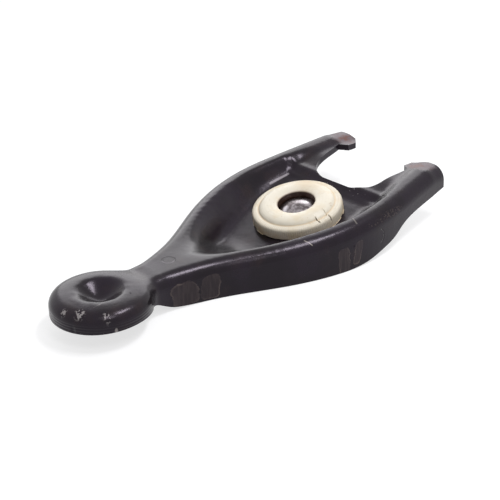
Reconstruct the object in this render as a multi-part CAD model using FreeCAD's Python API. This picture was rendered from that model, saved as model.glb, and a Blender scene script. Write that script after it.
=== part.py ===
"""Clutch release fork: a pressed-steel lever with a nylon ball bush and its steel ball cup.

X runs along the lever from the push-rod head (-X) to the two finger tips (+X), Y across it, Z up.
Stations are measured from the centre of the ball bush's mouth and heights from the resting plane.
The finished parts are moved along X so that the origin is the middle of the overall length. Millimetres.
"""
import FreeCAD
import Part
import math
import os

V = FreeCAD.Vector

# ---------------------------------------------------------------- sheet
SHEET = 3.0                 # thickness of the pressed sheet
EDGE_RADIUS = 6.5           # outside of the bend between the top and the side flange
INNER_RADIUS = 2.5          # inside of the same bend
REACH = 150.0               # length of cutting tools, more than the lever's half length

# ---------------------------------------------------------------- push-rod head
HEAD_X = -119.0             # centre of the round head
HEAD_RADIUS = 22.4          # outside of the head's side wall
HEAD_CREST = 18.3           # height of the ring-shaped crest
CREST_RADIUS = 11.0         # radius of that crest
DIMPLE_DEPTH = 5.4          # push-rod dimple below the crest
HEAD_FALL = 2.0             # drop from the crest to the top of the side bend
NECK_RADIUS = 9.0           # plan radius between the head and the neck
NECK_RUN = 3.5              # the side walls start this far behind the head

# ---------------------------------------------------------------- lever, tables along x
HALF_WIDTH = [(-84.0, 13.0), (-70.0, 17.4), (-55.0, 24.6), (-40.0, 32.6), (-25.0, 38.9), (-10.0, 42.9),
              (5.0, 44.4), (20.0, 43.5), (35.0, 41.3), (50.0, 38.7), (66.0, 36.0), (82.0, 33.4)]
NECK_HALF = 11.6            # half width where the side walls start
CREST = [(-150.0, 16.4), (-92.0, 16.6), (-70.0, 17.1), (-50.0, 17.9), (-16.0, 20.0), (20.0, 22.4), (40.0, 24.0),
         (64.0, 26.0), (90.0, 28.2)]
LOWER_EDGE = [(-145.0, 6.4), (-106.0, 6.4), (-98.0, 4.4), (-90.0, 1.8), (-80.0, 0.3), (-70.0, 0.0), (-10.0, 0.0),
              (2.0, 1.0), (14.0, 3.8), (22.0, 6.2), (27.0, 9.0), (33.0, 11.2), (46.0, 12.8), (90.0, 16.6)]
TIP_X = 65.0                # cut ends of the fingers
TIP_BEND_X = 53.5           # the fingers' contact ends bend down from here
TIP_SLOPE = 0.13

# ---------------------------------------------------------------- ball bush, axis leaning towards the head
BUSH_TILT = 10.8            # degrees
RIM_HEIGHT = 17.8           # height of the bush's mouth above the resting plane
MOUTH_RADIUS = 9.0
CROWN = 0.8                 # the raised ring's crown stands this far above the mouth
CROWN_RADIUS = 13.0
TIER_RADIUS = 18.0          # outside of the raised ring
TIER_DROP = 1.8             # top of the flange below the mouth
RING_RADIUS = 21.9          # outside of the flange
RING_HEIGHT = 7.0           # mouth above the pan's floor
SKIRT_RADIUS = 14.8         # part of the bush that passes through the pan
SKIRT_LENGTH = 6.2          # below the flange
HOLE_CLEARANCE = 0.2        # between the skirt and its hole
LUG_REACH = 1.3             # the snap lugs stand out this much under the pan
LUG_PLAY = 0.2              # between the pan and the lugs
LUG_HEIGHT = 1.7
LUG_ANGLE = 48.0
LUG_COUNT = 4
SKIRT_SLOT = 2.4
TONGUE_WIDTH = 7.0          # locating tongue in the raised ring
SLIT = 1.0
SLIT_DEPTH = 3.6

# ---------------------------------------------------------------- steel cup held in the bush
BALL_RADIUS = 9.0           # ball stud the cup runs on
CUP_WALL = 1.5
CUP_DROP = 0.8              # top of the cup below the mouth
LIP_BITE = 0.3              # the nylon lip closes in this much under the ball's middle

# ---------------------------------------------------------------- recessed pan between the rails
PAN_START = -72.0           # the floor starts to fall here
PAN_FULL = -25.0            # and reaches its full depth here
RAIL = 8.2                  # crest of the rails inside the side walls
WALL_RUN = 9.0              # width of the rails' inner slope
PAN_END = 28.6              # the crossbar's crest
END_RUN = 5.6               # width of the slope up to it
CROSSBAR_DROP = 1.6         # the crossbar's crest below the rails

# ---------------------------------------------------------------- gap between the fingers
CROTCH_X = 27.2
CROTCH_FLAT = 8.0           # half width of its straight bottom
CORNER_X = 39.0
CORNER_HALF = 20.4
NUB_X = 53.5                # the contact ends start to widen inwards here
GAP_HALF = 22.6             # half width of the gap before them
NUB_RUN = 2.6
NUB_HALF = 18.4
NUB_CHAMFER = 3.4
TIP_CORNER = 3.0            # rounding of the outer corner

GRID_X = (-146.0, 82.0, 77)  # from, to, points
GRID_Y = (-50.0, 50.0, 51)


def blend(t):
    """0 up to 0, 1 from 1 on, and smooth in between."""
    t = min(1.0, max(0.0, t))
    return t * t * t * (10.0 - 15.0 * t + 6.0 * t * t)


def along(table, x):
    """Smooth value at x from a table of stations."""
    xs = [p[0] for p in table]
    ys = [p[1] for p in table]
    if x <= xs[0]:
        return ys[0]
    if x >= xs[-1]:
        return ys[-1]
    steps = [(ys[k + 1] - ys[k]) / (xs[k + 1] - xs[k]) for k in range(len(xs) - 1)]
    inner = [2 * a * b / (a + b) if a * b > 0 else 0.0 for a, b in zip(steps, steps[1:])]
    slopes = [steps[0]] + inner + [steps[-1]]
    i = max(k for k in range(len(xs) - 1) if xs[k] <= x)
    h = xs[i + 1] - xs[i]
    t = (x - xs[i]) / h
    start = ys[i] * (1 + 2 * t) * (1 - t) ** 2 + slopes[i] * h * t * (1 - t) ** 2
    return start + ys[i + 1] * t * t * (3 - 2 * t) + slopes[i + 1] * h * t * t * (t - 1)


def smooth_min(a, b, width):
    """The lower of two values, with a round transition."""
    h = min(1.0, max(0.0, 0.5 + 0.5 * (b - a) / width))
    return b + (a - b) * h - width * h * (1.0 - h)


def half_width(x):
    return along([(HEAD_X + HEAD_RADIUS + NECK_RUN, NECK_HALF)] + HALF_WIDTH, x)


def floor_height(x):
    """Height of the inclined pan floor that the bush's flange sits on."""
    tilt = math.radians(BUSH_TILT)
    return RIM_HEIGHT - RING_HEIGHT / math.cos(tilt) + x * math.tan(tilt)


def head_height(r):
    """Crest ring with the push-rod dimple inside it."""
    if r < CREST_RADIUS:
        return HEAD_CREST - DIMPLE_DEPTH * (1.0 - (r / CREST_RADIUS) ** 2) ** 1.5
    return HEAD_CREST - HEAD_FALL * ((r - CREST_RADIUS) / (HEAD_RADIUS - CREST_RADIUS)) ** 2


def top_height(x, y):
    """Height of the outer skin."""
    crest = along(CREST, x)
    share = blend((x - PAN_START) / (PAN_FULL - PAN_START))
    side = (half_width(x) - RAIL - abs(y)) / WALL_RUN
    end = (PAN_END - x) / END_RUN
    crossbar = CROSSBAR_DROP * blend((x - PAN_FULL) / 20.0) * blend(side)
    top = crest - crossbar
    lever = top - (top - floor_height(x)) * share * blend(smooth_min(side, end, 0.2))
    lever -= TIP_SLOPE * (x - TIP_BEND_X) * blend((x - TIP_BEND_X) / 4.0)
    r = math.hypot(x - HEAD_X, y)
    return lever + (head_height(r) - lever) * (1.0 - blend((r - HEAD_RADIUS + 6.0) / 12.0))


def inner_height(x, y):
    """Height of the inner skin, one sheet thickness inside the outer one."""
    e = 0.05
    gx = (top_height(x + e, y) - top_height(x - e, y)) / (2 * e)
    gy = (top_height(x, y + e) - top_height(x, y - e)) / (2 * e)
    return top_height(x, y) - SHEET * math.sqrt(1.0 + gx * gx + gy * gy)


def space_above(height):
    """Solid space above a surface through a grid of heights."""
    x0, x1, nx = GRID_X
    y0, y1, ny = GRID_Y
    xs = [x0 + (x1 - x0) * i / (nx - 1) for i in range(nx)]
    ys = [y0 + (y1 - y0) * j / (ny - 1) for j in range(ny)]
    sheet = Part.BSplineSurface()
    sheet.interpolate([[V(x, y, height(x, y)) for y in ys] for x in xs])
    return sheet.toShape().extrude(V(0, 0, 2 * REACH))


def outline(inset):
    """Closed plan outline: round head, neck and both sides, moved inwards by inset."""
    neck_x = HEAD_X + HEAD_RADIUS + NECK_RUN
    points = [V(neck_x, NECK_HALF, 0)] + [V(x, w, 0) for x, w in HALF_WIDTH]
    side = Part.BSplineCurve()
    side.interpolate(Points=points, InitialTangent=V(1, 0, 0), FinalTangent=points[-1] - points[-2])
    if inset:
        tangents = [side.tangent(side.parameter(p))[0] for p in points]
        points = [p + V(t.y, -t.x, 0) * inset for p, t in zip(points, tangents)]
        side = Part.BSplineCurve()
        side.interpolate(Points=points, InitialTangent=V(1, 0, 0), FinalTangent=points[-1] - points[-2])
    start = points[0]
    radius = HEAD_RADIUS - inset
    fillet = NECK_RADIUS + inset
    rise = start.y + fillet
    centre = V(HEAD_X + math.sqrt((radius + fillet) ** 2 - rise ** 2), rise, 0)
    foot = V(centre.x, start.y, 0)
    away = (V(HEAD_X, 0, 0) - centre).normalize()
    touch = centre + away * fillet
    middle = centre + (away + V(0, -1, 0)).normalize() * fillet
    half = [Part.Arc(touch, middle, foot).toShape(), Part.LineSegment(foot, start).toShape(), side.toShape()]
    other = [edge.mirror(V(0, 0, 0), V(0, 1, 0)) for edge in half]
    head = Part.Arc(touch, V(HEAD_X - radius, 0, 0), V(touch.x, -touch.y, 0)).toShape()
    end = Part.LineSegment(points[-1], V(points[-1].x, -points[-1].y, 0)).toShape()
    return Part.Wire(Part.__sortEdges__(half + other + [head, end]))


def skin(inset, bottom, height, radius):
    """Solid inside one skin of the sheet, with its bend rounded."""
    wall = outline(inset)
    wall.translate(V(0, 0, bottom))
    block = Part.Face(wall).extrude(V(0, 0, REACH)).cut(space_above(height))
    top = max(block.Faces, key=lambda face: face.Area if face.BoundBox.ZMin > bottom + 0.1 else 0.0)
    bend = [edge for edge in top.OuterWire.Edges if edge.BoundBox.XMin < TIP_X]
    return block.makeFillet(radius, bend)


def finger_gap():
    """Everything ahead of the fingers' cut ends and between them."""
    corner_mid = V(CROTCH_FLAT + 0.62 * (CORNER_HALF - CROTCH_FLAT), 0, 0).x
    arc_mid = V(CROTCH_X + 0.24 * (CORNER_X - CROTCH_X), corner_mid, 0)
    nub = NUB_X + NUB_RUN
    path = [
        Part.Arc(V(CROTCH_X, CROTCH_FLAT, 0), arc_mid, V(CORNER_X, CORNER_HALF, 0)),
        Part.LineSegment(V(CORNER_X, CORNER_HALF, 0), V(NUB_X, GAP_HALF, 0)),
        Part.LineSegment(V(NUB_X, GAP_HALF, 0), V(nub, NUB_HALF, 0)),
        Part.LineSegment(V(nub, NUB_HALF, 0), V(TIP_X - NUB_CHAMFER, NUB_HALF, 0)),
        Part.LineSegment(V(TIP_X - NUB_CHAMFER, NUB_HALF, 0), V(TIP_X, NUB_HALF + NUB_CHAMFER, 0)),
        Part.LineSegment(V(TIP_X, NUB_HALF + NUB_CHAMFER, 0), V(TIP_X, REACH, 0)),
        Part.LineSegment(V(TIP_X, REACH, 0), V(REACH, REACH, 0)),
    ]
    half = [piece.toShape() for piece in path]
    other = [edge.mirror(V(0, 0, 0), V(0, 1, 0)) for edge in half]
    bottom = Part.LineSegment(V(CROTCH_X, CROTCH_FLAT, 0), V(CROTCH_X, -CROTCH_FLAT, 0)).toShape()
    end = Part.LineSegment(V(REACH, REACH, 0), V(REACH, -REACH, 0)).toShape()
    wire = Part.Wire(Part.__sortEdges__(half + other + [bottom, end]))
    wire.translate(V(0, 0, -REACH))
    return Part.Face(wire).extrude(V(0, 0, 2 * REACH))


def below_lower_edge():
    """Space below the side flanges' lower edge."""
    points = [V(x, -REACH, z) for x, z in LOWER_EDGE]
    edge = Part.BSplineCurve()
    edge.interpolate(Points=points, InitialTangent=V(1, 0, 0), FinalTangent=points[-1] - points[-2])
    first, last = points[0], points[-1]
    corners = [last, V(last.x, -REACH, -REACH), V(first.x, -REACH, -REACH), first]
    sides = [Part.LineSegment(a, b).toShape() for a, b in zip(corners, corners[1:])]
    wire = Part.Wire(Part.__sortEdges__([edge.toShape()] + sides))
    return Part.Face(wire).extrude(V(0, 2 * REACH, 0))


def on_bush_axis(shape):
    """Move a shape made about Z, with its zero at the bush's mouth, to the inclined axis."""
    shape.rotate(V(0, 0, 0), V(0, 1, 0), -BUSH_TILT)
    shape.translate(V(0, 0, RIM_HEIGHT))
    return shape


def turned(edges):
    """Solid of revolution about Z from edges in the XZ plane."""
    return Part.Face(Part.Wire(Part.__sortEdges__([edge.toShape() for edge in edges]))).revolve(V(0, 0, 0), V(0, 0, 1), 360)


def line(r0, z0, r1, z1):
    return Part.LineSegment(V(r0, 0, z0), V(r1, 0, z1))


def make_arm():
    outer = skin(0.0, 0.0, top_height, EDGE_RADIUS)
    inner = skin(SHEET, -10.0, inner_height, INNER_RADIUS)
    arm = outer.cut(inner)
    arm = arm.cut(finger_gap())
    arm = arm.cut(below_lower_edge())
    hole = Part.makeCylinder(SKIRT_RADIUS + HOLE_CLEARANCE, 2 * REACH, V(0, 0, -REACH))
    return arm.cut(on_bush_axis(hole))


def make_bush():
    ball = CUP_DROP + CUP_WALL + BALL_RADIUS
    seat = BALL_RADIUS + CUP_WALL
    shoulder = -ball + math.sqrt(seat ** 2 - MOUTH_RADIUS ** 2)
    bottom = -RING_HEIGHT - SKIRT_LENGTH
    seat_mid = math.radians(20.0)
    edges = [
        line(MOUTH_RADIUS, shoulder, MOUTH_RADIUS, -0.6),
        Part.Arc(V(MOUTH_RADIUS, 0, -0.6), V(MOUTH_RADIUS + 1.2, 0, 0.45), V(CROWN_RADIUS, 0, CROWN)),
        Part.Arc(V(CROWN_RADIUS, 0, CROWN), V(TIER_RADIUS - 1.3, 0, CROWN - 0.9), V(TIER_RADIUS, 0, -TIER_DROP)),
        line(TIER_RADIUS, -TIER_DROP, RING_RADIUS - 0.6, -TIER_DROP),
        line(RING_RADIUS - 0.6, -TIER_DROP, RING_RADIUS, -TIER_DROP - 0.6),
        line(RING_RADIUS, -TIER_DROP - 0.6, RING_RADIUS, -RING_HEIGHT),
        line(RING_RADIUS, -RING_HEIGHT, SKIRT_RADIUS, -RING_HEIGHT),
        line(SKIRT_RADIUS, -RING_HEIGHT, SKIRT_RADIUS, bottom + 0.8),
        line(SKIRT_RADIUS, bottom + 0.8, SKIRT_RADIUS - 0.8, bottom),
        line(SKIRT_RADIUS - 0.8, bottom, BALL_RADIUS + 0.5, bottom),
        line(BALL_RADIUS + 0.5, bottom, BALL_RADIUS - LIP_BITE, bottom + 0.6),
        line(BALL_RADIUS - LIP_BITE, bottom + 0.6, BALL_RADIUS, -ball),
        line(BALL_RADIUS, -ball, seat, -ball),
        Part.Arc(V(seat, 0, -ball), V(seat * math.cos(seat_mid), 0, -ball + seat * math.sin(seat_mid)),
                 V(MOUTH_RADIUS, 0, shoulder)),
    ]
    bush = turned(edges)
    lug_top = -RING_HEIGHT - SHEET - LUG_PLAY
    reach = SKIRT_RADIUS + LUG_REACH
    ramp = [
        line(SKIRT_RADIUS - 1.0, lug_top, reach, lug_top),
        line(reach, lug_top, reach, lug_top - 0.5),
        line(reach, lug_top - 0.5, SKIRT_RADIUS, lug_top - LUG_HEIGHT),
        line(SKIRT_RADIUS, lug_top - LUG_HEIGHT, SKIRT_RADIUS - 1.0, lug_top - LUG_HEIGHT),
        line(SKIRT_RADIUS - 1.0, lug_top - LUG_HEIGHT, SKIRT_RADIUS - 1.0, lug_top),
    ]
    face = Part.Face(Part.Wire([edge.toShape() for edge in ramp]))
    for k in range(LUG_COUNT):
        lug = face.revolve(V(0, 0, 0), V(0, 0, 1), LUG_ANGLE)
        lug.rotate(V(0, 0, 0), V(0, 0, 1), 360.0 * k / LUG_COUNT - LUG_ANGLE / 2)
        bush = bush.fuse(lug)
    for k in range(LUG_COUNT):
        slot = Part.makeBox(SKIRT_RADIUS, SKIRT_SLOT, SKIRT_LENGTH - SHEET, V(seat + 1.0, -SKIRT_SLOT / 2, bottom - 1.0))
        slot.rotate(V(0, 0, 0), V(0, 0, 1), 360.0 * (k + 0.5) / LUG_COUNT)
        bush = bush.cut(slot)
    for side in (-1, 1):
        left = side * (TONGUE_WIDTH + SLIT) / 2 - SLIT / 2
        slit = Part.makeBox(SLIT, TIER_RADIUS, SLIT_DEPTH + CROWN + 1.0, V(left, -TIER_RADIUS - 5.0, -SLIT_DEPTH))
        slit = slit.cut(Part.makeCylinder(CROWN_RADIUS + 1.0, REACH, V(0, 0, -REACH / 2)))
        bush = bush.cut(slit)
    return on_bush_axis(bush.removeSplitter())


def make_cup():
    ball = CUP_DROP + CUP_WALL + BALL_RADIUS
    seat = BALL_RADIUS + CUP_WALL
    slant = math.sqrt(0.5)
    edges = [
        Part.Arc(V(0, 0, -CUP_DROP), V(seat * slant, 0, -ball + seat * slant), V(seat, 0, -ball)),
        line(seat, -ball, BALL_RADIUS, -ball),
        Part.Arc(V(BALL_RADIUS, 0, -ball), V(BALL_RADIUS * slant, 0, -ball + BALL_RADIUS * slant),
                 V(0, 0, -ball + BALL_RADIUS)),
        line(0, -ball + BALL_RADIUS, 0, -CUP_DROP),
    ]
    return on_bush_axis(turned(edges))


def export(shape, node):
    shape.translate(V(-(HEAD_X - HEAD_RADIUS + TIP_X) / 2.0, 0, 0))
    shape.exportStep("parts/" + node + ".step")


os.makedirs("parts", exist_ok=True)
export(make_arm(), "fork_arm")
export(make_bush(), "pivot_bush")
export(make_cup(), "ball_cup")
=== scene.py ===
import math

import bmesh
import bpy
from mathutils import Matrix, Vector


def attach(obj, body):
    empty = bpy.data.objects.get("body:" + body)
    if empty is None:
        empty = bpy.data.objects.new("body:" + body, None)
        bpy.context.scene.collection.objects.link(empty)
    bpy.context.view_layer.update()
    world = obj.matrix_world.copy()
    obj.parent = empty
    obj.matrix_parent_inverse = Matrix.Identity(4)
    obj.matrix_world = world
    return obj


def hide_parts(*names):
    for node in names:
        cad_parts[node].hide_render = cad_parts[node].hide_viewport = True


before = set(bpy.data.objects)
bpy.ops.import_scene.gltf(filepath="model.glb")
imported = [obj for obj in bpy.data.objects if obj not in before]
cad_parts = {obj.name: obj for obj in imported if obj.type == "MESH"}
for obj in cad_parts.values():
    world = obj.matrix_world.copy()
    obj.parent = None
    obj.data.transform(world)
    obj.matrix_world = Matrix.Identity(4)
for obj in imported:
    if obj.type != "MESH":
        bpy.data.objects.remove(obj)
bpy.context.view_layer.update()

# ------------------------------------------------------------------ sizes from the CAD, metres
BUSH_X = 0.0382          # station of the bush's mouth in the frame
RIM_Z = 0.0178           # its height
TILT = math.radians(10.8)
HEAD = (BUSH_X - 0.119, 0.0)


# ------------------------------------------------------------------ shader helper
class Wire:
    """A node socket that takes part in arithmetic."""

    def __init__(self, tree, socket):
        self.tree = tree
        self.socket = socket

    def _math(self, op, *others):
        node = self.tree.nodes.new("ShaderNodeMath")
        node.operation = op
        for slot, value in zip(node.inputs, (self,) + others):
            if isinstance(value, Wire):
                self.tree.links.new(value.socket, slot)
            else:
                slot.default_value = value
        return Wire(self.tree, node.outputs[0])

    def __add__(self, o): return self._math("ADD", o)
    def __sub__(self, o): return self._math("SUBTRACT", o)
    def __mul__(self, o): return self._math("MULTIPLY", o)
    def __truediv__(self, o): return self._math("DIVIDE", o)
    def __radd__(self, o): return self + o
    def __rmul__(self, o): return self * o
    def __rsub__(self, o): return self * -1.0 + o
    def __neg__(self): return self * -1.0
    def __pow__(self, o): return self._math("POWER", o)
    def max(self, o): return self._math("MAXIMUM", o)
    def min(self, o): return self._math("MINIMUM", o)
    def abs(self): return self._math("ABSOLUTE")
    def sin(self): return self._math("SINE")
    def sqrt(self): return self._math("SQRT")
    def atan2(self, o): return self._math("ARCTAN2", o)
    def above(self, o): return self._math("GREATER_THAN", o)

    def ramp(self, low, high):
        """0 at low and below, 1 at high and above, smooth in between."""
        node = self.tree.nodes.new("ShaderNodeMapRange")
        node.interpolation_type = "SMOOTHSTEP"
        self.tree.links.new(self.socket, node.inputs[0])
        for slot, value in zip(node.inputs[1:5], (low, high, 0.0, 1.0) if high > low else (high, low, 1.0, 0.0)):
            slot.default_value = value
        return Wire(self.tree, node.outputs[0])


class Surface:
    """A material around one Principled shader."""

    def __init__(self, name, **fixed):
        self.material = bpy.data.materials.new(name)
        self.material.use_nodes = True
        self.tree = self.material.node_tree
        self.shader = self.tree.nodes["Principled BSDF"]
        for key, value in fixed.items():
            self.shader.inputs[key.replace("_", " ")].default_value = value
        self.place = self.node("ShaderNodeNewGeometry")
        split = self.node("ShaderNodeSeparateXYZ", {}, Vector=self.place.outputs["Position"])
        self.x, self.y, self.z = (Wire(self.tree, split.outputs[k]) for k in range(3))
        normal = self.node("ShaderNodeSeparateXYZ", {}, Vector=self.place.outputs["True Normal"])
        self.nx, self.ny, self.nz = (Wire(self.tree, normal.outputs[k]) for k in range(3))

    def node(self, kind, settings=None, **inputs):
        made = self.tree.nodes.new(kind)
        for key, value in (settings or {}).items():
            setattr(made, key, value)
        for key, value in inputs.items():
            slot = made.inputs[key.replace("_", " ")]
            if isinstance(value, Wire):
                value = value.socket
            if isinstance(value, bpy.types.NodeSocket):
                self.tree.links.new(value, slot)
            else:
                slot.default_value = value
        return made

    def noise(self, scale, detail=3.0, rough=0.5, stretch=(1, 1, 1), shift=0.0):
        place = self.node("ShaderNodeVectorMath", {"operation": "MULTIPLY_ADD"})
        self.tree.links.new(self.place.outputs["Position"], place.inputs[0])
        place.inputs[1].default_value = stretch
        place.inputs[2].default_value = (shift, shift, shift)
        made = self.node("ShaderNodeTexNoise", {"noise_dimensions": "3D"}, Vector=place.outputs[0], Scale=scale,
                         Detail=detail, Roughness=rough)
        return Wire(self.tree, made.outputs[0])

    def blob(self, centre, size, soft=0.35, ragged=None):
        """1 inside an ellipsoid, 0 outside, with a soft or ragged edge."""
        terms = [((axis - c) / s) ** 2.0 for axis, c, s in zip((self.x, self.y, self.z), centre, size) if s]
        reach = sum(terms[1:], terms[0]).sqrt()
        if ragged is not None:
            reach = reach + ragged
        return reach.ramp(1.0 + soft, 1.0 - soft)

    def colour(self, base):
        return Paint(self, self.rgb(base))

    def rgb(self, value):
        return self.node("ShaderNodeRGB").outputs[0] if value is None else self._fixed(value)

    def _fixed(self, value):
        made = self.node("ShaderNodeRGB")
        made.outputs[0].default_value = (*value, 1.0)
        return made.outputs[0]

    def drive(self, **values):
        for key, value in values.items():
            slot = self.shader.inputs[key.replace("_", " ")]
            self.tree.links.new(value.socket if isinstance(value, Wire) else value, slot)

    def relief(self, *layers):
        """Stack bump layers of (height, depth in metres)."""
        last = None
        for height, depth in layers:
            made = self.node("ShaderNodeBump", {}, Strength=1.0, Distance=depth, Height=height)
            if last:
                self.tree.links.new(last, made.inputs["Normal"])
            last = made.outputs[0]
        self.drive(Normal=last)


class Paint:
    """A colour that further colours are laid over."""

    def __init__(self, surface, socket):
        self.surface = surface
        self.socket = socket

    def over(self, colour, mask):
        made = self.surface.node("ShaderNodeMix", {"data_type": "RGBA"})
        tree = self.surface.tree
        tree.links.new(mask.socket, made.inputs[0])
        tree.links.new(self.socket, made.inputs[6])
        made.inputs[7].default_value = (*colour, 1.0)
        return Paint(self.surface, made.outputs[2])


def tone(r, g, b):
    """Linear colour from display values."""
    return tuple((c / 255 / 12.92) if c <= 10 else ((c / 255 + 0.055) / 1.055) ** 2.4 for c in (r, g, b))


def dress(piece, surface, angle=0.5):
    piece.data.materials.clear()
    piece.data.materials.append(surface.material)
    for face in piece.data.polygons:
        face.use_smooth = True


# ------------------------------------------------------------------ the pressing, with the press's softer forms
def blend(t):
    t = min(1.0, max(0.0, t))
    return t * t * t * (10.0 - 15.0 * t + 6.0 * t * t)


def ease(t):
    t = min(1.0, max(0.0, t))
    return t * t * (3.0 - 2.0 * t)


def along(table, x):
    """Smooth value at x from a table of stations."""
    xs = [p[0] for p in table]
    ys = [p[1] for p in table]
    if x <= xs[0]:
        return ys[0]
    if x >= xs[-1]:
        return ys[-1]
    steps = [(b - a) / (d - c) for a, b, c, d in zip(ys, ys[1:], xs, xs[1:])]
    slopes = [steps[0]] + [2 * a * b / (a + b) if a * b > 0 else 0.0 for a, b in zip(steps, steps[1:])] + [steps[-1]]
    i = max(k for k in range(len(xs) - 1) if xs[k] <= x)
    h = xs[i + 1] - xs[i]
    t = (x - xs[i]) / h
    start = ys[i] * (1 + 2 * t) * (1 - t) ** 2 + slopes[i] * h * t * (1 - t) ** 2
    return start + ys[i + 1] * t * t * (3 - 2 * t) + slopes[i + 1] * h * t * t * (t - 1)


def lower(a, b, width):
    h = min(1.0, max(0.0, 0.5 + 0.5 * (b - a) / width))
    return b + (a - b) * h - width * h * (1.0 - h)


HALF = [(-93.1, 11.6), (-84.0, 13.0), (-70.0, 17.4), (-55.0, 24.6), (-40.0, 32.6), (-25.0, 38.9), (-10.0, 42.9),
        (5.0, 44.4), (20.0, 43.5), (35.0, 41.3), (50.0, 38.7), (66.0, 36.0), (82.0, 33.4)]
CREST = [(-150.0, 16.4), (-92.0, 16.6), (-70.0, 17.1), (-50.0, 17.9), (-16.0, 20.0), (20.0, 22.4), (40.0, 24.0),
         (64.0, 26.0), (90.0, 28.2)]


def lever_top(x, y, rail, run, start, full, end_at, end_run, drop, corner, shape):
    """Height of the top of the lever, in millimetres, for one set of pan sizes."""
    crest = along(CREST, x)
    side = (along(HALF, x) - rail - abs(y)) / run
    end = (end_at - x) / end_run
    top = crest - drop * blend((x + 25.0) / 20.0) * blend(side * run / 9.0)
    floor_z = 17.8 - 7.0 / math.cos(TILT) + x * math.tan(TILT)
    return top - (top - floor_z) * blend((x - start) / (full - start)) * shape(lower(side, end, corner))


def pressed(x, y, z):
    """Move a point of the plain solid to the softer form. Millimetres from the bush's mouth."""
    near = 1.0 - blend((math.hypot(x + 119.0, y) - 17.0) / 19.0)
    r = math.hypot(x + 119.0, y) / 11.0
    if near > 0.0:
        z += near * ((18.3 - z) * 0.2 if z < 18.3 else 0.0)
        if r < 1.25:
            z -= 1.3 * (1.0 - (r / 1.25) ** 2) ** 2
    away = 1.0 - near
    if away > 0.0 and -88.0 < x < 46.0:
        old = lever_top(x, y, 8.2, 9.0, -72.0, -25.0, 28.6, 5.6, 1.6, 0.2, blend)
        new = lever_top(x, y, 7.6, 13.5, -76.0, -24.0, 28.6, 5.6, 3.6, 0.35, ease)
        clear = math.hypot(x, y)
        z += away * (new - old) * blend((clear - 22.6) / 3.0) * (1.0 - blend((x - 27.0) / 18.0))
    return z


def refined(node, name, longest):
    """A finer copy of a CAD piece, with its cut edges kept crisp."""
    mesh = node.data.copy()
    bm = bmesh.new()
    bm.from_mesh(mesh)
    bmesh.ops.remove_doubles(bm, verts=bm.verts, dist=2e-6)
    for edge in bm.edges:
        edge.smooth = len(edge.link_faces) == 2 and edge.calc_face_angle(0.0) < 0.6
    for face in bm.faces:
        face.smooth = True
    for _ in range(7):
        long_edges = [edge for edge in bm.edges if edge.calc_length() > longest]
        if not long_edges:
            break
        bmesh.ops.subdivide_edges(bm, edges=long_edges, cuts=1, use_grid_fill=False)
        bmesh.ops.triangulate(bm, faces=[face for face in bm.faces if len(face.verts) > 3])
    bm.to_mesh(mesh)
    bm.free()
    if "custom_normal" in mesh.attributes:
        mesh.attributes.remove(mesh.attributes["custom_normal"])
    made = bpy.data.objects.new(name, mesh)
    bpy.context.scene.collection.objects.link(made)
    return made


arm = refined(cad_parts["fork_arm"], "pressed_arm", 0.0016)
for vert in arm.data.vertices:
    x, y, z = vert.co * 1000.0
    vert.co.z = pressed(x - BUSH_X * 1000.0, y, z) / 1000.0
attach(arm, "root")
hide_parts("fork_arm")


# ------------------------------------------------------------------ moulded top of the bush
def to_bush(point):
    """Bush axes, in millimetres from its mouth."""
    x, y, z = (point - Vector((BUSH_X, 0, RIM_Z))) * 1000.0
    return x * math.cos(TILT) + z * math.sin(TILT), y, z * math.cos(TILT) - x * math.sin(TILT)


def from_bush(x, y, z):
    place = Vector((x * math.cos(TILT) - z * math.sin(TILT), y, z * math.cos(TILT) + x * math.sin(TILT)))
    return place / 1000.0 + Vector((BUSH_X, 0, RIM_Z))


PROFILE = [(9.0, -1.6), (9.0, -0.55), (9.12, -0.2), (9.5, 0.02), (10.3, 0.28), (11.6, 0.5), (13.2, 0.58), (14.8, 0.48),
           (16.0, 0.22), (16.9, -0.12), (17.6, -0.6), (18.0, -1.05), (18.15, -1.4), (18.45, -1.5), (19.4, -1.45),
           (20.3, -1.5), (21.0, -1.75), (21.45, -2.3), (21.7, -3.1), (21.8, -4.4), (21.8, -6.5), (21.65, -6.95),
           (21.2, -7.0), (18.0, -7.0)]
TURNS = 900
RIBS = 132
TONGUE = math.radians(-94.0)


def ring_point(r, z, angle):
    """Profile point with the radial ribs of the skirt, the tongue and the slits beside it."""
    if r > 18.8 and z < -1.2:
        rib = 0.12 * (0.5 + 0.5 * math.cos(RIBS * angle)) * blend((r - 18.8) / 1.2)
        r -= rib * blend((-2.0 - z) / 1.5)
        z -= rib * (1.0 - blend((-2.0 - z) / 1.5))
    off = math.atan2(math.sin(angle - TONGUE), math.cos(angle - TONGUE))
    side = r * math.sin(off) + 0.16 * (r - 17.0)
    if abs(off) < 0.6:
        if abs(side) < 3.0 and r > 14.6:
            z -= 0.5 * blend((r - 14.6) / 2.4) * (1.0 - blend((r - 18.6) / 0.9)) * blend((3.0 - abs(side)) / 0.5)
        for place, inside, outside in ((-3.1, 16.8, 20.4), (3.1, 19.0, 21.4)):
            cut = 1.0 - blend((abs(side - place) - 0.16) / 0.2)
            z -= 1.3 * cut * blend((r - inside) / 0.7) * (1.0 - blend((r - outside) / 0.6))
    return from_bush(r * math.cos(angle), r * math.sin(angle), z)


def lathe(bm, profile, turns):
    """Smooth faces from a profile turned about the bush's axis; the rows are given back."""
    rows = [[bm.verts.new(ring_point(r, z, math.tau * k / turns)) for k in range(turns)] for r, z in profile]
    for low_row, high_row in zip(rows, rows[1:]):
        for k in range(turns):
            n = (k + 1) % turns
            bm.faces.new((low_row[k], high_row[k], high_row[n], low_row[n])).smooth = True
    return rows


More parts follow.
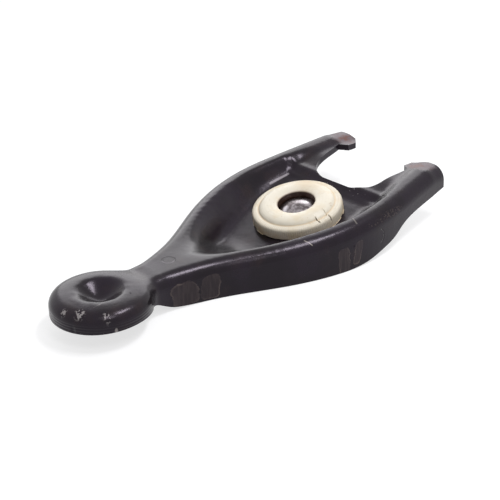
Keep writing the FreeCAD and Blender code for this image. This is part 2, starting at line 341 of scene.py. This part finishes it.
def domed_cup():
    """The steel cup with its softly domed crown filling the mouth."""
    crown = [(0.01 + 8.95 * k / 24, -1.3 - 2.3 * (k / 24) ** 2.2) for k in range(25)]
    outer = [(10.5 * math.cos(a), -11.3 + 10.5 * math.sin(a)) for a in (math.radians(31.0 - 31.0 * k / 8) for k in range(9))]
    inner = [(9.0 * math.cos(a) + 0.01, -11.3 + 9.0 * math.sin(a)) for a in (math.radians(90.0 * k / 16) for k in range(17))]
    bm = bmesh.new()
    rows = lathe(bm, crown + outer + inner, 96)
    bm.faces.new(rows[0])
    bm.faces.new(rows[-1])
    bmesh.ops.recalc_face_normals(bm, faces=bm.faces)
    bmesh.ops.triangulate(bm, faces=[face for face in bm.faces if len(face.verts) > 4])
    mesh = bpy.data.meshes.new("domed_cup")
    bm.to_mesh(mesh)
    bm.free()
    made = bpy.data.objects.new("domed_cup", mesh)
    bpy.context.scene.collection.objects.link(made)
    return made


def moulded_bush(node):
    """The bush with its moulded top turned afresh over the plain skirt."""
    mesh = node.data.copy()
    bm = bmesh.new()
    bm.from_mesh(mesh)
    bmesh.ops.remove_doubles(bm, verts=bm.verts, dist=2e-6)
    old = []
    for face in bm.faces:
        places = [to_bush(vert.co) for vert in face.verts]
        reach = min(math.hypot(x, y) for x, y, _ in places)
        low = min(z for _, _, z in places)
        high = max(z for _, _, z in places)
        if (high > -6.9 and reach > 9.4 and low > -7.05 and not (high < -5.5 and reach < 10.6)) or high > 0.05:
            old.append(face)
    bmesh.ops.delete(bm, geom=old, context="FACES")
    for face in bm.faces:
        face.smooth = True
    for edge in bm.edges:
        edge.smooth = len(edge.link_faces) == 2 and edge.calc_face_angle(0.0) < 0.6
    dense = []
    for (r0, z0), (r1, z1) in zip(PROFILE, PROFILE[1:]):
        steps = max(1, round(math.hypot(r1 - r0, z1 - z0) / 0.3))
        dense += [(r0 + (r1 - r0) * k / steps, z0 + (z1 - z0) * k / steps) for k in range(steps)]
    dense.append(PROFILE[-1])
    lathe(bm, dense, TURNS)
    bmesh.ops.triangulate(bm, faces=[face for face in bm.faces if len(face.verts) > 4])
    bm.to_mesh(mesh)
    bm.free()
    if "custom_normal" in mesh.attributes:
        mesh.attributes.remove(mesh.attributes["custom_normal"])
    made = bpy.data.objects.new("moulded_bush", mesh)
    bpy.context.scene.collection.objects.link(made)
    return made


bush = moulded_bush(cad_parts["pivot_bush"])
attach(bush, "root")
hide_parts("pivot_bush")
cup = domed_cup()
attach(cup, "root")
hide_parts("ball_cup")


# ------------------------------------------------------------------ black paint on the pressing
def stroke(s, start, end, width, soft=0.0002):
    """1 along a straight line seen from above, between two (x, y) points in metres."""
    (x0, y0), (x1, y1) = start, end
    length = math.hypot(x1 - x0, y1 - y0)
    tx, ty = (x1 - x0) / length, (y1 - y0) / length
    run = (s.x - x0) * tx + (s.y - y0) * ty
    off = ((s.x - x0) * -ty + (s.y - y0) * tx).abs()
    return off.ramp(width + soft, width) * run.ramp(-soft, soft) * run.ramp(length + soft, length - soft)


def arm_paint():
    s = Surface("arm_paint", IOR=1.35, Specular_Tint=(0.95, 0.85, 1.0, 1.0))
    broad = s.noise(38.0, 3.0, 0.55)
    cloud = s.noise(90.0, 4.0, 0.6, shift=0.4)
    fine = s.noise(420.0, 3.0, 0.6)
    grain = s.noise(1400.0, 2.0, 0.6)
    specks = s.noise(900.0, 1.0, 0.5, shift=2.0)
    smear = s.noise(160.0, 4.0, 0.6, stretch=(0.25, 1.0, 2.0), shift=1.0)
    near = (-s.y).ramp(0.004, 0.009)
    front = near * s.nz.ramp(0.75, 0.45)
    top = s.nz.ramp(0.2, 0.6)

    base = s.colour(tone(11, 6, 9)).over(tone(25, 18, 27), broad.ramp(0.42, 0.62))
    # brown clouds: a painted brownish reflection, spread at random over the paint
    base = base.over(tone(42, 31, 29), cloud.ramp(0.5, 0.72) * 0.5)
    base = base.over(tone(17, 14, 15), fine.ramp(0.52, 0.72) * 0.6)

    # pale brown residue of old tape on the near flange
    tape = None
    edge = None
    for place, size, lean in (((-0.0447, 0.0062), (0.0066, 0.0058), 0.1), ((-0.0330, 0.0064), (0.0042, 0.0062), -0.1),
                              ((0.0262, 0.0060), (0.0030, 0.0064), 0.06), ((0.0340, 0.0080), (0.0021, 0.0062), -0.2)):
        across = ((s.x - place[0]) + (s.z - place[1]) * lean) / size[0]
        along_z = (s.z - place[1]) / size[1]
        reach = (across.abs() ** 4.0 + along_z.abs() ** 4.0) ** 0.25 + (smear - 0.5) * 0.7
        one = reach.ramp(1.03, 0.97) * front
        rim = one * reach.ramp(0.82, 0.96)
        tape = one if tape is None else tape.max(one)
        edge = rim if edge is None else edge.max(rim)
    streak = s.noise(700.0, 2.0, 0.5, stretch=(1.0, 1.0, 0.12)).ramp(0.4, 0.7)
    base = base.over(tone(72, 63, 62), tape * (streak * 0.35 + 0.3))
    base = base.over(tone(118, 106, 100), edge * (cloud.ramp(0.4, 0.65) * 0.7))

    # round ejector marks: one on the neck's top, one on the near flange, their rims coloured with painted shade and a
    # painted highlight
    away = s.x * math.sin(AZ) + s.y * math.cos(AZ)
    spot = (((s.x + 0.0413) ** 2.0 + (s.y - 0.0009) ** 2.0).sqrt() - 0.0028).abs()
    shade_side = (away + 0.0413 * math.sin(AZ) - 0.0009 * math.cos(AZ)).ramp(-0.0012, 0.0004)
    neck_ring_shade = spot.ramp(0.0005, 0.0002) * shade_side * s.nz.ramp(0.6, 0.8)
    neck_ring_highlight = spot.ramp(0.0005, 0.0002) * (1.0 - shade_side) * s.nz.ramp(0.6, 0.8)
    ring = (((s.x - 0.0473) ** 2.0 + (s.z - 0.0106) ** 2.0).sqrt() - 0.0038).abs()
    flange_ring_shade = ring.ramp(0.0004, 0.00015) * (s.x - 0.0473).ramp(0.0012, 0.0022) * front
    # painted shade: the neck ring's half away from the camera and the flange ring's +x half darkened
    base = base.over(tone(8, 7, 8), neck_ring_shade.max(flange_ring_shade) * 0.9)
    # painted highlight: the neck ring's half towards the camera lightened
    base = base.over(tone(92, 88, 94), neck_ring_highlight * 0.5)

    # scratches and chips
    lines = stroke(s, (0.0099, -0.0328), (0.0115, -0.0366), 0.0001) * 0.7
    lines = lines.max(stroke(s, (0.0380, -0.0365), (0.0364, -0.0405), 0.00022) * 0.3)
    base = base.over(tone(176, 168, 160), lines * top)
    # a light line along the fold at the foot of the far wall: chipped paint with a painted highlight along the fold
    fold_chips_and_highlight = stroke(s, (0.0487, 0.0286), (0.0608, 0.0275), 0.0003, 0.0004) * cloud.ramp(0.34, 0.5)
    base = base.over(tone(168, 162, 168), fold_chips_and_highlight * 0.75)
    chips = s.blob((0.058, -0.043, 0.0187), (0.008, 0.004, 0.0016), 0.3) * specks.ramp(0.5, 0.6)
    chips = chips.max(s.blob((0.047, -0.0425, 0.0182), (0.006, 0.004, 0.0010), 0.3) * specks.ramp(0.53, 0.6))
    base = base.over(tone(104, 92, 86), chips * 0.25)
    scuffs = s.blob((-0.0915, -0.0085, 0.0175), (0.0040, 0.0022, 0.006), 0.4) * smear.ramp(0.52, 0.6)
    scuffs = scuffs.max(s.blob((-0.0985, -0.0085, 0.0165), (0.0022, 0.0022, 0.004), 0.4) * specks.ramp(0.5, 0.56))
    scuffs = scuffs.max(s.blob((-0.1015, -0.0015, 0.0160), (0.0012, 0.0014, 0.004), 0.5) * specks.ramp(0.46, 0.54))
    scuffs = scuffs.max(s.blob((-0.0915, -0.0177, 0.0156), (0.0014, 0.0016, 0.004), 0.5) * specks.ramp(0.5, 0.55))
    base = base.over(tone(170, 164, 164), scuffs * 0.75)
    base = base.over(tone(176, 168, 165), s.blob((-0.0894, -0.0207, 0.0098), (0.0006, 0.0008, 0.0011), 0.4) * 0.8)
    nick = s.blob((-0.1018, -0.0060, 0.0100), (0.00035, 0.0030, 0.0020), 0.5)
    base = base.over(tone(4, 3, 4), nick)
    dots = s.blob((0.0648, -0.002, 0.0195), (0.0035, 0.016, 0.005), 0.3) * s.noise(800.0, 0.0, 0.5, shift=5.0).ramp(0.76, 0.785)
    base = base.over(tone(170, 166, 168), dots * 0.7)

    # bare, rusty rubbing pads on the finger ends
    rub = s.noise(300.0, 5.0, 0.65, shift=3.0)
    pads = s.blob((0.0975, -0.0250, 0.0247), (0.0050, 0.0072, 0.0030), 0.35, (rub - 0.5) * 1.3)
    pads = pads.max(s.blob((0.0985, 0.0250, 0.0247), (0.0050, 0.0075, 0.0030), 0.35, (rub - 0.5) * 1.3)) * top
    base = base.over(tone(112, 100, 104), pads * 0.8)
    base = base.over(tone(104, 66, 56), pads * rub.ramp(0.48, 0.6) * 0.85)

    s.drive(Base_Color=base.socket, Roughness=broad * 0.14 + fine * 0.1 + tape * 0.16 + pads * 0.2 + 0.11)
    head = s.x.ramp(-0.066, -0.074)
    draws = (s.z * (math.tau / 0.0013) + cloud * 3.0).sin() * head * s.z.ramp(0.0135, 0.012) * s.nz.ramp(0.5, 0.2)
    dent = (neck_ring_shade.max(flange_ring_shade)) * -1.0 - nick
    s.relief((grain, 0.000012), (fine, 0.00002), (cloud, 0.00012), (draws, 0.00006), (dent, 0.0003))
    return s


def bush_axes(s):
    """Coordinates along and across the bush's axis, metres."""
    dx = s.x - BUSH_X
    dz = s.z - RIM_Z
    lx = dx * math.cos(TILT) + dz * math.sin(TILT)
    lz = dz * math.cos(TILT) - dx * math.sin(TILT)
    return lx, s.y, lz, (lx * lx + s.y * s.y).sqrt()


def nylon():
    s = Surface("nylon", IOR=1.53)
    lx, ly, lz, r = bush_axes(s)
    broad = s.noise(120.0, 3.0, 0.55)
    fine = s.noise(700.0, 3.0, 0.6)
    base = s.colour(tone(228, 220, 204)).over(tone(219, 203, 174), broad.ramp(0.46, 0.66) * 0.6)
    base = base.over(tone(222, 200, 164), (r.ramp(0.0184, 0.0205) * lz.ramp(-0.0012, -0.0050)) * broad.ramp(0.3, 0.6) * 0.5)
    stain = s.blob((0.0530, 0.0060, 0.0190), (0.006, 0.008, 0.006), 0.6, (fine - 0.5) * 1.2)
    base = base.over(tone(206, 184, 152), stain * 0.55)
    grime = s.noise(500.0, 4.0, 0.65, shift=2.0)
    base = base.over(tone(176, 150, 118), grime.ramp(0.6, 0.72) * 0.35)
    off = (ly * -1.0).atan2(lx)
    ribs = (off * float(RIBS)).sin()
    # darker stripes in step with the skirt's ribs: painted shade on one flank of each rib
    base = base.over(tone(190, 168, 134), ribs.ramp(0.3, 1.0) * r.ramp(0.0188, 0.0200) * 0.35)
    # a brownish painted shadow in the groove at the foot of the upper tier
    base = base.over(tone(206, 172, 120), r.ramp(0.0179, 0.0182) * r.ramp(0.0190, 0.0186) * 0.4)
    # old grease at the mouth's rim; on the mouth's wall below the rim old grease with painted shade darkening it; the
    # slits beside the tongue coloured dark brown
    wall = r.ramp(0.00945, 0.00905) * lz.ramp(-0.0001, -0.0008)
    base = base.over(tone(120, 84, 58), r.ramp(0.0098, 0.0091) * lz.ramp(0.0004, -0.0004) * 0.5)
    # painted shade with old grease: the mouth's wall turned dark brown below its rim
    base = base.over(tone(52, 30, 20), wall * (grime.ramp(0.2, 0.5) * 0.3 + 0.7))
    side = r * ((ly * -1.0).atan2(lx) - math.radians(94.0)).sin() * -1.0 + (r - 0.017) * 0.16
    slits = (side + 0.0031).abs().ramp(0.00042, 0.00015) * r.ramp(0.0168, 0.0175) * r.ramp(0.0209, 0.0202)
    slits = slits.max((side - 0.0031).abs().ramp(0.00042, 0.00015) * r.ramp(0.0190, 0.0197) * r.ramp(0.0218, 0.0212))
    slits = slits * (-ly).ramp(0.008, 0.010) * lz.ramp(-0.0058, -0.0050)
    base = base.over(tone(92, 66, 34), slits * 0.9)
    s.drive(Base_Color=base.socket, Roughness=broad * 0.15 + fine * 0.1 + 0.32)
    s.relief((fine, 0.00002), (broad, 0.0001))
    return s


def bright_steel():
    s = Surface("bright_steel", Metallic=1.0)
    lx, ly, lz, r = bush_axes(s)
    broad = s.noise(260.0, 3.0, 0.55)
    fine = s.noise(1300.0, 2.0, 0.55)
    base = s.colour(tone(150, 143, 146)).over(tone(88, 80, 82), broad.ramp(0.42, 0.6))
    base = base.over(tone(60, 40, 28), r.ramp(0.0079, 0.0090) * broad.ramp(0.3, 0.6))
    # bright patches on the crown: painted highlights of the lamps on the steel
    highlight_patches = s.blob((0.0447, -0.0013, 0.0162), (0.0034, 0.0026, 0.003), 0.6, (fine - 0.5) * 0.8)
    highlight_patches = highlight_patches.max(s.blob((0.0330, 0.0032, 0.0140), (0.0022, 0.0018, 0.003), 0.6, (fine - 0.5) * 0.8))
    base = base.over(tone(226, 220, 226), highlight_patches * 0.8)
    s.drive(Base_Color=base.socket, Roughness=broad * 0.2 + 0.2)
    s.relief((fine, 0.00001), (broad, 0.00005))
    return s


AZ, EL, ROLL = (math.radians(a) for a in (42.97, 27.17, -2.0))

dress(arm, arm_paint())
dress(bush, nylon())
dress(cup, bright_steel())

# ------------------------------------------------------------------ floor
def shown(tree):
    """1 for the rays that show the background: straight, mirrored or through glass."""
    path = tree.nodes.new("ShaderNodeLightPath")
    straight, mirrored, through = (Wire(tree, path.outputs[f"Is {kind} Ray"]) for kind in ("Camera", "Glossy", "Transmission"))
    return straight.max(mirrored).max(through)


bpy.ops.mesh.primitive_plane_add(size=6.0, location=(0, 0, -0.0002))
floor = bpy.context.object
floor.name = "floor"
white = Surface("floor_white", Roughness=1.0, Specular_IOR_Level=0.0, Emission_Strength=1.0)
white.shader.inputs["Base Color"].default_value = (0.38, 0.38, 0.39, 1)
white.drive(Emission_Color=shown(white.tree) * 0.7)
floor.data.materials.append(white.material)

# ------------------------------------------------------------------ light: a bright wall behind, a soft box overhead
world = bpy.data.worlds.new("studio")
bpy.context.scene.world = world
world.use_nodes = True
tree = world.node_tree
toward = tree.nodes.new("ShaderNodeVectorMath")
toward.operation = "DOT_PRODUCT"
toward.inputs[1].default_value = (0.68, 0.73, 0.0)
tree.links.new(tree.nodes.new("ShaderNodeTexCoord").outputs["Generated"], toward.inputs[0])
wall = Wire(tree, toward.outputs["Value"]).ramp(0.2, 0.65) * 0.8 + 0.3
seen = shown(tree)
light = seen * 1.0 + (1.0 - seen) * wall
tree.links.new(light.socket, tree.nodes["Background"].inputs["Strength"])
tree.nodes["Background"].inputs["Color"].default_value = (1, 1, 1, 1)


def lamp(name, place, aim, size, watts, size_y=None):
    data = bpy.data.lights.new(name, "AREA")
    data.energy = watts
    data.shape = "RECTANGLE"
    data.size = size
    data.size_y = size_y or size
    made = bpy.data.objects.new(name, data)
    bpy.context.scene.collection.objects.link(made)
    made.location = place
    made.rotation_euler = (Vector(aim) - Vector(place)).to_track_quat("-Z", "Y").to_euler()


lamp("soft_box", (0.16, -0.2, 0.66), (0, 0, 0), 0.28, 2.6, 0.13)
lamp("back_wall", (0.9, 0.97, 0.6), (0, 0, 0), 1.2, 5.0, 0.7)
lamp("fill", (-0.17, -0.29, 0.42), (0, 0, 0), 0.16, 0.42)

# ------------------------------------------------------------------ camera
AIM = Vector((BUSH_X - 0.03655, -0.0061, 0.008))
across = Vector((math.cos(AZ), -math.sin(AZ), 0))
ahead = Vector((math.sin(AZ) * math.cos(EL), math.cos(AZ) * math.cos(EL), -math.sin(EL)))
over = across.cross(ahead)
right = across * math.cos(ROLL) + over * math.sin(ROLL)
up = over * math.cos(ROLL) - across * math.sin(ROLL)
lens = bpy.data.cameras.new("camera")
lens.sensor_width = 36.0
lens.lens = 1535.8 / 500 * 36.0
camera = bpy.data.objects.new("camera", lens)
bpy.context.scene.collection.objects.link(camera)
camera.matrix_world = Matrix.Translation(AIM - ahead * 0.7045) @ Matrix((right, up, -ahead)).transposed().to_4x4()
bpy.context.scene.camera = camera
bpy.context.scene.view_settings.view_transform = "Standard"
